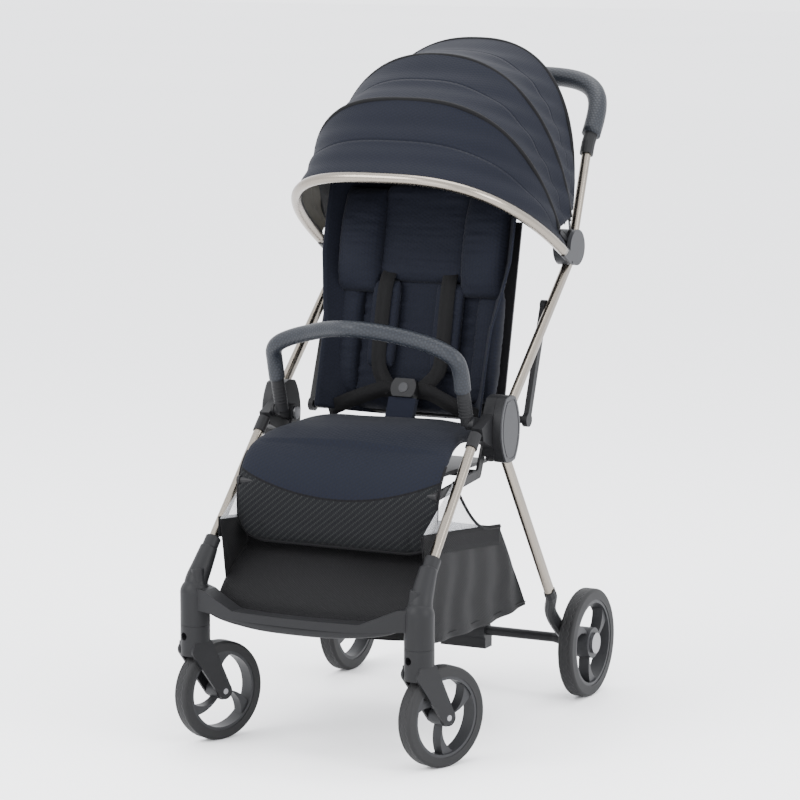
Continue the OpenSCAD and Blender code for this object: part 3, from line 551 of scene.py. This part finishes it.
TILT = math.radians(106.8)
arm_low = HUB + Vector((0, -0.055, 0.013))
arm_dir = Vector((0, math.cos(TILT), math.sin(TILT)))
arm_top = arm_low + arm_dir * 0.0554
half = [(0, -1.2, 4), (0, -7, 27), (3, -15, 46), (16, -21, 59), (42, -24, 70), (75, -31, 79), (115, -46, 88)]
knots = [Vector((0.1618 - a / 1000, arm_top.y + b / 1000, arm_top.z + c / 1000)) for a, b, c in half]
knots = ([Vector((0.1618, arm_top.y, arm_top.z))] + knots
         + [Vector((0, arm_top.y - 0.060, arm_top.z + 0.093))])
knots = knots + [Vector((-p.x, p.y, p.z)) for p in reversed(knots[:-1])]
bar = tube("bumper_sleeve", curve(knots, 8), 0.0128, SLOT["grip"], "bumper_bar", 28)
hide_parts("bumper_bar")
for s in (1, -1):
    for k in range(6):
        c = arm_low + arm_dir * (0.014 + 0.0055 * k)
        o = tube(f"bumper_rib_{'l' if s > 0 else 'r'}{k}",
                 [Vector((0.1618 * s, c.y, c.z)) + arm_dir * d for d in (-0.0014, -0.0008, 0.0008, 0.0014)],
                 0.0109, SLOT["black_plastic"], "bumper", 28)

# %% [markdown]
# ## Seat and leg rest
# One padded cover rolls from the seat over its front edge and down the leg rest.

# %%
def cover_line():
    pts = [(0.006, 0.456), (-0.030, 0.461), (-0.080, 0.464), (-0.130, 0.463), (-0.165, 0.457),
           (-0.198, 0.443), (-0.220, 0.421), (-0.232, 0.395), (-0.236, 0.368), (-0.2362, 0.335),
           (-0.2355, 0.309)]
    return [(p.y, p.z) for p in curve([(0, a, b) for a, b in pts], 9)]


def cover_width(s):
    keys = [(0, 0.146), (0.30, 0.149), (0.42, 0.158), (0.58, 0.171), (0.75, 0.172), (0.88, 0.171)]
    w = look_up(keys, min(s, 0.88))
    if s > 0.88:
        d = (s - 0.88) / 0.12
        w = 0.171 - 0.040 * (1 - math.sqrt(max(0, 1 - d * d)))
    return w * (0.93 + 0.07 * min(1, s / 0.03)) if s < 0.03 else w


def cover_thick(s):
    return look_up([(0, 0.010), (0.03, 0.024), (0.2, 0.026), (0.6, 0.022), (0.95, 0.020),
                    (0.985, 0.014), (1, 0.006)], s)


def cover_puff(x, s, outer):
    crown = 0.006 * (1 - (x / 0.17) ** 2) if s < 0.2 else 0
    dart = 0
    if s > 0.33:
        dart = sum(-0.0028 * math.exp(-(((x - e * (0.128 + (s - 0.33) * 0.16)) / 0.0042) ** 2))
                   for e in (1, -1))
    return (crown + dart + wob(x, s, 0, 9, 0.004)) * (-1)


cover = strip("seat_cover", cover_line(), cover_width, cover_thick, navy_seat, None, 7.0, 120, cover_puff)
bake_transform(cover)
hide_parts("seat_pad", "leg_rest")
line = cover_line()
total = sum(math.dist(a, b) for a, b in zip(line, line[1:]))
rim, s = [], 0.0
for i, (y, z) in enumerate(line):
    s += math.dist(line[i - 1], line[i]) if i else 0
    if s / total > 0.60:
        rim.append((cover_width(s / total), y - 0.002, z))
edge = [Vector((w, y, z)) for w, y, z in rim]
foot_w = rim[-1][0] - 0.006
foot = [Vector((x, line[-1][0] - 0.002, line[-1][1] - 0.002)) for x in np.linspace(foot_w, -foot_w, 30)]
hem = tube("leg_rest_piping", edge[:-1] + foot + [Vector((-p.x, p.y, p.z)) for p in reversed(edge[:-1])],
           0.0026, piping, "leg_rest", 10)

# %% [markdown]
# ## Backrest, headrest and harness

# %%
FOOT = HUB + Vector((0, 0.075, 0.004))
LEAN = math.radians(77)
UP = Vector((0, math.cos(LEAN), math.sin(LEAN)))
BACK = Vector((0, math.sin(LEAN), -math.cos(LEAN)))


def local(x, u, v):
    """A point on the backrest: x across, u up its front, v behind it."""
    return FOOT + UP * u + BACK * v + Vector((x, 0, 0))


def back_pad(name, u0, u1, x0, x1, v, thick, material, power=4, tip=0.2, steps=40, puffy=0.003):
    """A padded block on the backrest's front face."""
    def ring(s):
        e = min(s, 1 - s) / tip
        return math.sqrt(max(0.0, 1 - (1 - min(1, e)) ** 2))
    cx, w = (x0 + x1) / 2, (x1 - x0) / 2
    verts, uvs, around = [], [], 44
    for i in range(steps + 1):
        s = i / steps
        g = max(ring(s), 0.08)
        for k in range(around):
            a = 2 * math.pi * k / around
            ca, sa = math.cos(a), math.sin(a)
            x = cx + w * (0.8 + 0.2 * g) * math.copysign(abs(ca) ** (2 / power), ca)
            d = thick / 2 * g * math.copysign(abs(sa) ** (2 / 2.4), sa)
            d += wob(x, s * 2, 0, 16, puffy)
            verts.append(local(x, u0 + (u1 - u0) * s, v + d))
            uvs.append((x, (u1 - u0) * s + (0.5 if sa > 0 else 0)))
    faces = [(i * around + k, i * around + (k + 1) % around, (i + 1) * around + (k + 1) % around,
              (i + 1) * around + k) for i in range(steps) for k in range(around)]
    faces += [tuple(range(around))[::-1], tuple(steps * around + k for k in range(around))]
    o = make(name, verts, faces, uvs, material, "backrest")
    return o


def shell_point(s, v):
    """The cloth bucket round the backrest: its sides come forward of its middle."""
    x = (s * 2 - 1)
    u = -0.006 + 0.40 * v
    wide = look_up([(0, 0.146), (0.35, 0.150), (0.62, 0.168), (1, 0.168)], v)
    wing = abs(x) ** 4
    depth = 0.030 + 0.006 * math.cos(3 * x) - wing * (0.075 - 0.02 * v)
    p = local(math.copysign(abs(x) ** 0.85, x) * wide, u, depth)
    return p + Vector((0, wob(p.x, p.y, p.z, 10, 0.006), 0))


bucket = surface("back_bucket", shell_point, 70, 60, navy, "backrest", 0.003)
cut_sheet(bucket, "navy_cloth", "stretched", "backrest_frame")
main_pad = back_pad("backrest_cushion", 0.0, 0.262, -0.118, 0.118, 0.012, 0.030, navy, 5, 0.12, 50, 0.005)
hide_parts("backrest_pad")
for s in (1, -1):
    back_pad(f"side_bolster_{'l' if s > 0 else 'r'}", 0.02, 0.20, min(s * 0.100, s * 0.143),
             max(s * 0.100, s * 0.143), 0.004, 0.040, navy, 2.6, 0.3, 40, 0.004)
    back_pad(f"headrest_bolster_{'l' if s > 0 else 'r'}", 0.185, 0.352, min(s * 0.070, s * 0.148),
             max(s * 0.070, s * 0.148), -0.010, 0.056, navy, 2.7, 0.45, 40, 0.003)
back_pad("headrest_centre", 0.205, 0.362, -0.078, 0.078, -0.004, 0.030, navy, 5, 0.14, 40, 0.003)
for s in (1, -1):
    o = back_pad(f"shoulder_pad_{'l' if s > 0 else 'r'}", 0.066, 0.205, min(s * 0.032, s * 0.080),
                 max(s * 0.032, s * 0.080), -0.013, 0.017, navy, 4, 0.16, 36, 0.002)
    if s > 0:
        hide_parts("shoulder_pads")


def ribbon(name, pts, width, thick, body, across=(1, 0, 0)):
    """A flat strap along a curve, its width across the given direction."""
    p = np.array([tuple(q) for q in curve(pts, 8)])
    t = np.gradient(p, axis=0)
    t /= np.linalg.norm(t, axis=1, keepdims=True)
    a = np.array(across, float) - t * (t @ np.array(across, float))[:, None]
    a /= np.linalg.norm(a, axis=1, keepdims=True)
    n = np.cross(t, a)
    verts, uvs, L = [], [], 0.0
    for i in range(len(p)):
        L += float(np.linalg.norm(p[i] - p[i - 1])) if i else 0
        for dw, dn in ((-1, -1), (1, -1), (1, 1), (-1, 1)):
            verts.append(p[i] + a[i] * dw * width / 2 + n[i] * dn * thick / 2)
            uvs.append((L, dw * width / 2))
    faces = [(i * 4 + k, i * 4 + (k + 1) % 4, (i + 1) * 4 + (k + 1) % 4, (i + 1) * 4 + k)
             for i in range(len(p) - 1) for k in range(4)]
    faces += [(3, 2, 1, 0), tuple((len(p) - 1) * 4 + k for k in range(4))]
    o = make(name, verts, faces, uvs, webbing, body)
    return o


buckle_mid = HUB + Vector((0, 0.050, 0.028)) + Vector((0, 0.0063, 0.0136))
for s in (1, -1):
    tag = "l" if s > 0 else "r"
    ribbon(f"shoulder_strap_{tag}", [local(s * 0.052, 0.235, -0.003), local(s * 0.055, 0.20, -0.022),
                                     local(s * 0.056, 0.12, -0.0235), local(s * 0.054, 0.07, -0.022),
                                     local(s * 0.040, 0.045, -0.026), local(s * 0.024, 0.030, -0.026)],
           0.025, 0.0016, "backrest")
    ribbon(f"lap_strap_{tag}", [buckle_mid + Vector((s * 0.022, 0, -0.002)),
                                buckle_mid + Vector((s * 0.045, -0.002, -0.004)),
                                Vector((s * 0.085, -0.010, 0.502)), Vector((s * 0.120, -0.004, 0.487)),
                                Vector((s * 0.140, 0.004, 0.478))], 0.025, 0.0016, "seat", (0, 0, 1))

# %% [markdown]
# ## Basket
# Black cloth hung from the front legs and the seat, with a knit band and a pale net at each side.

# %%
SIDE = [(-0.292, 0.345), (-0.311, 0.250), (-0.311, 0.204), (-0.260, 0.174), (-0.144, 0.180), (0.085, 0.172),
        (-0.018, 0.317)]
front_line = curve([(0, -0.206, 0.332), (0, -0.212, 0.300), (0, -0.237, 0.284), (0, -0.262, 0.268),
                    (0, -0.288, 0.248), (0, -0.306, 0.225), (0, -0.310, 0.205)], 8)


def front_panel(s, v):
    q = front_line[int(round(v * (len(front_line) - 1)))]
    x = (s * 2 - 1) * 0.1715
    y = q.y + 0.004 * (x / 0.17) ** 2 + wob(x, q.z, 0, 12, 0.004)
    return Vector((x, y, q.z + wob(x, q.z, 3, 15, 0.002)))


o = surface("basket_front", front_panel, 60, 40, black_cloth, "chassis", 0.0016)
cut_sheet(o, "black_cloth", "stretched", "front_legs", "footboard")
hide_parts("basket_panels")


def lerp2(a, b, t):
    return (a[0] + (b[0] - a[0]) * t, a[1] + (b[1] - a[1]) * t)


for s in (1, -1):
    tag = "l" if s > 0 else "r"

    def side_panel(u, v, s=s):
        top = lerp2(SIDE[0], SIDE[6], u)
        low = lerp2((-0.262, 0.176), SIDE[5], u)
        y, z = lerp2(top, low, v)
        belly = math.sin(math.pi * v) ** 0.7 * (0.3 + 0.7 * math.sin(math.pi * u))
        pull = 0.0035 * math.sin(26 * u + 5 * v + 2 * noise.noise(Vector((u * 3, v * 2, s)))) * (0.3 + v)
        return Vector((s * (0.1722 + 0.0022 * belly) + pull * 0.5, y, z - 0.006 * math.sin(math.pi * u) * v))

    o = surface(f"basket_side_{tag}", side_panel, 70, 40, black_cloth, "chassis", 0.0016)
    cut_sheet(o, "black_cloth", "hung", "front_legs")
    if s > 0:
        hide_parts("basket")

    def band(u, v, s=s):
        y, z = lerp2(SIDE[0], SIDE[6], u)
        return Vector((s * 0.1752, y, z + 0.004 - 0.032 * v))

    o = surface(f"basket_band_{tag}", band, 50, 4, black_knit, "chassis", 0.0012)
    cut_sheet(o, "black_cloth", "stretched", f"basket_side_{tag}")

    def net(u, v, s=s):
        low = lerp2(SIDE[0], SIDE[6], u)
        apex = (-0.185, 0.413)
        front = lerp2(SIDE[0], apex, min(1, u / 0.38)) if u < 0.38 else None
        t = (u - 0.38) / 0.62
        top = front if u < 0.38 else (apex[0] + (SIDE[6][0] - apex[0]) * t,
                                      apex[1] + (SIDE[6][1] - apex[1]) * t - 0.030 * math.sin(math.pi * t))
        y, z = lerp2(low, top, v)
        return Vector((s * 0.1735, y, z))

    o = surface(f"basket_net_{tag}", net, 50, 16, mesh_net(), "chassis")
    cut_sheet(o, "black_cloth", "stretched", f"basket_band_{tag}", "front_legs")
    hem_line = [net(0.38 + 0.62 * k / 30, 1) + Vector((s * 0.0006, 0, 0)) for k in range(31)]
    o = tube(f"net_binding_{tag}", hem_line, 0.0024, piping, "chassis", 10)


def floor_panel(u, v):
    y, z = lerp2((-0.264, 0.1745), (0.085, 0.172), v)
    x = (u * 2 - 1) * 0.1725
    return Vector((x, y, z + 0.006 * (x / 0.17) ** 2 + wob(x, y, 0, 10, 0.004)))


def rear_panel(u, v):
    y, z = lerp2((0.084, 0.174), (-0.018, 0.317), v)
    x = (u * 2 - 1) * 0.1722
    return Vector((x, y + wob(x, z, 0, 12, 0.005), z))


for name, f in (("basket_floor", floor_panel), ("basket_rear", rear_panel)):
    o = surface(name, f, 40, 40, black_cloth, "chassis", 0.0016)
    cut_sheet(o, "black_cloth", "hung", "basket_side_l", "basket_side_r")

# %% [markdown]
# ## Footboard lip
# A smooth rounded edge sweeps down from one front corner and up to the other.

# %%
lip_half = [(0.187, -0.338, 0.274), (0.183, -0.340, 0.248), (0.170, -0.345, 0.227), (0.140, -0.354, 0.214),
            (0.090, -0.362, 0.207), (0.040, -0.366, 0.204)]
lip = curve([(-x, y, z) for x, y, z in lip_half] + [(x, y, z) for x, y, z in reversed(lip_half)], 10)
o = tube("footboard_lip", lip, 0.0098, SLOT["black_plastic"], "chassis", 24)
for s in (1, -1):
    neck = curve([(s * 0.1885, -0.300, 0.300), (s * 0.190, -0.318, 0.276), (s * 0.192, -0.334, 0.252),
                  (s * 0.192, -0.338, 0.222)], 8)
    o = tube(f"corner_neck_{'l' if s > 0 else 'r'}", neck, 0.0150, SLOT["black_plastic"], "chassis", 28,
             ripple=lambda d: 0.92 + 0.30 * min(1, d / 0.06))

# %% [markdown]
# ## Wheels and small details

# %%
def wheel_uv(o, centre, axis):
    """Gives a tyre UVs that run round its tread."""
    me = o.data
    layer = me.uv_layers.get("UVMap") or me.uv_layers.new(name="UVMap")
    axis = Vector(axis).normalized()
    ref = Vector((0, 0, 1))
    side = axis.cross(ref)
    for loop in me.loops:
        d = me.vertices[loop.vertex_index].co - centre
        layer.data[loop.index].uv = (math.atan2(d.dot(ref), d.dot(side)) * 0.08, d.dot(axis))


joints = {j["name"]: j for j in frame["joints"]}
for side in ("left", "right"):
    for end in ("front", "rear"):
        j = joints[f"{end}_wheel_{side}_spin"]
        wheel_uv(nodes[f"{end}_tyre_{side}"], Vector(j["pos_m"]), j["axis"])

# %%
me = bpy.data.meshes.new("floor")
me.from_pydata([(-30, -30, 0), (30, -30, 0), (30, 30, 0), (-30, 30, 0)], [], [(0, 1, 2, 3)])
f = Finish("floor")
pale = f.mix(f.noise(0.4, 2).ramp(0.3, 0.7), (0.93, 0.93, 0.94), (0.95, 0.95, 0.955))
me.materials.append(f.set(pale, 0.6))
floor = bpy.data.objects.new("floor", me)
scene.collection.objects.link(floor)
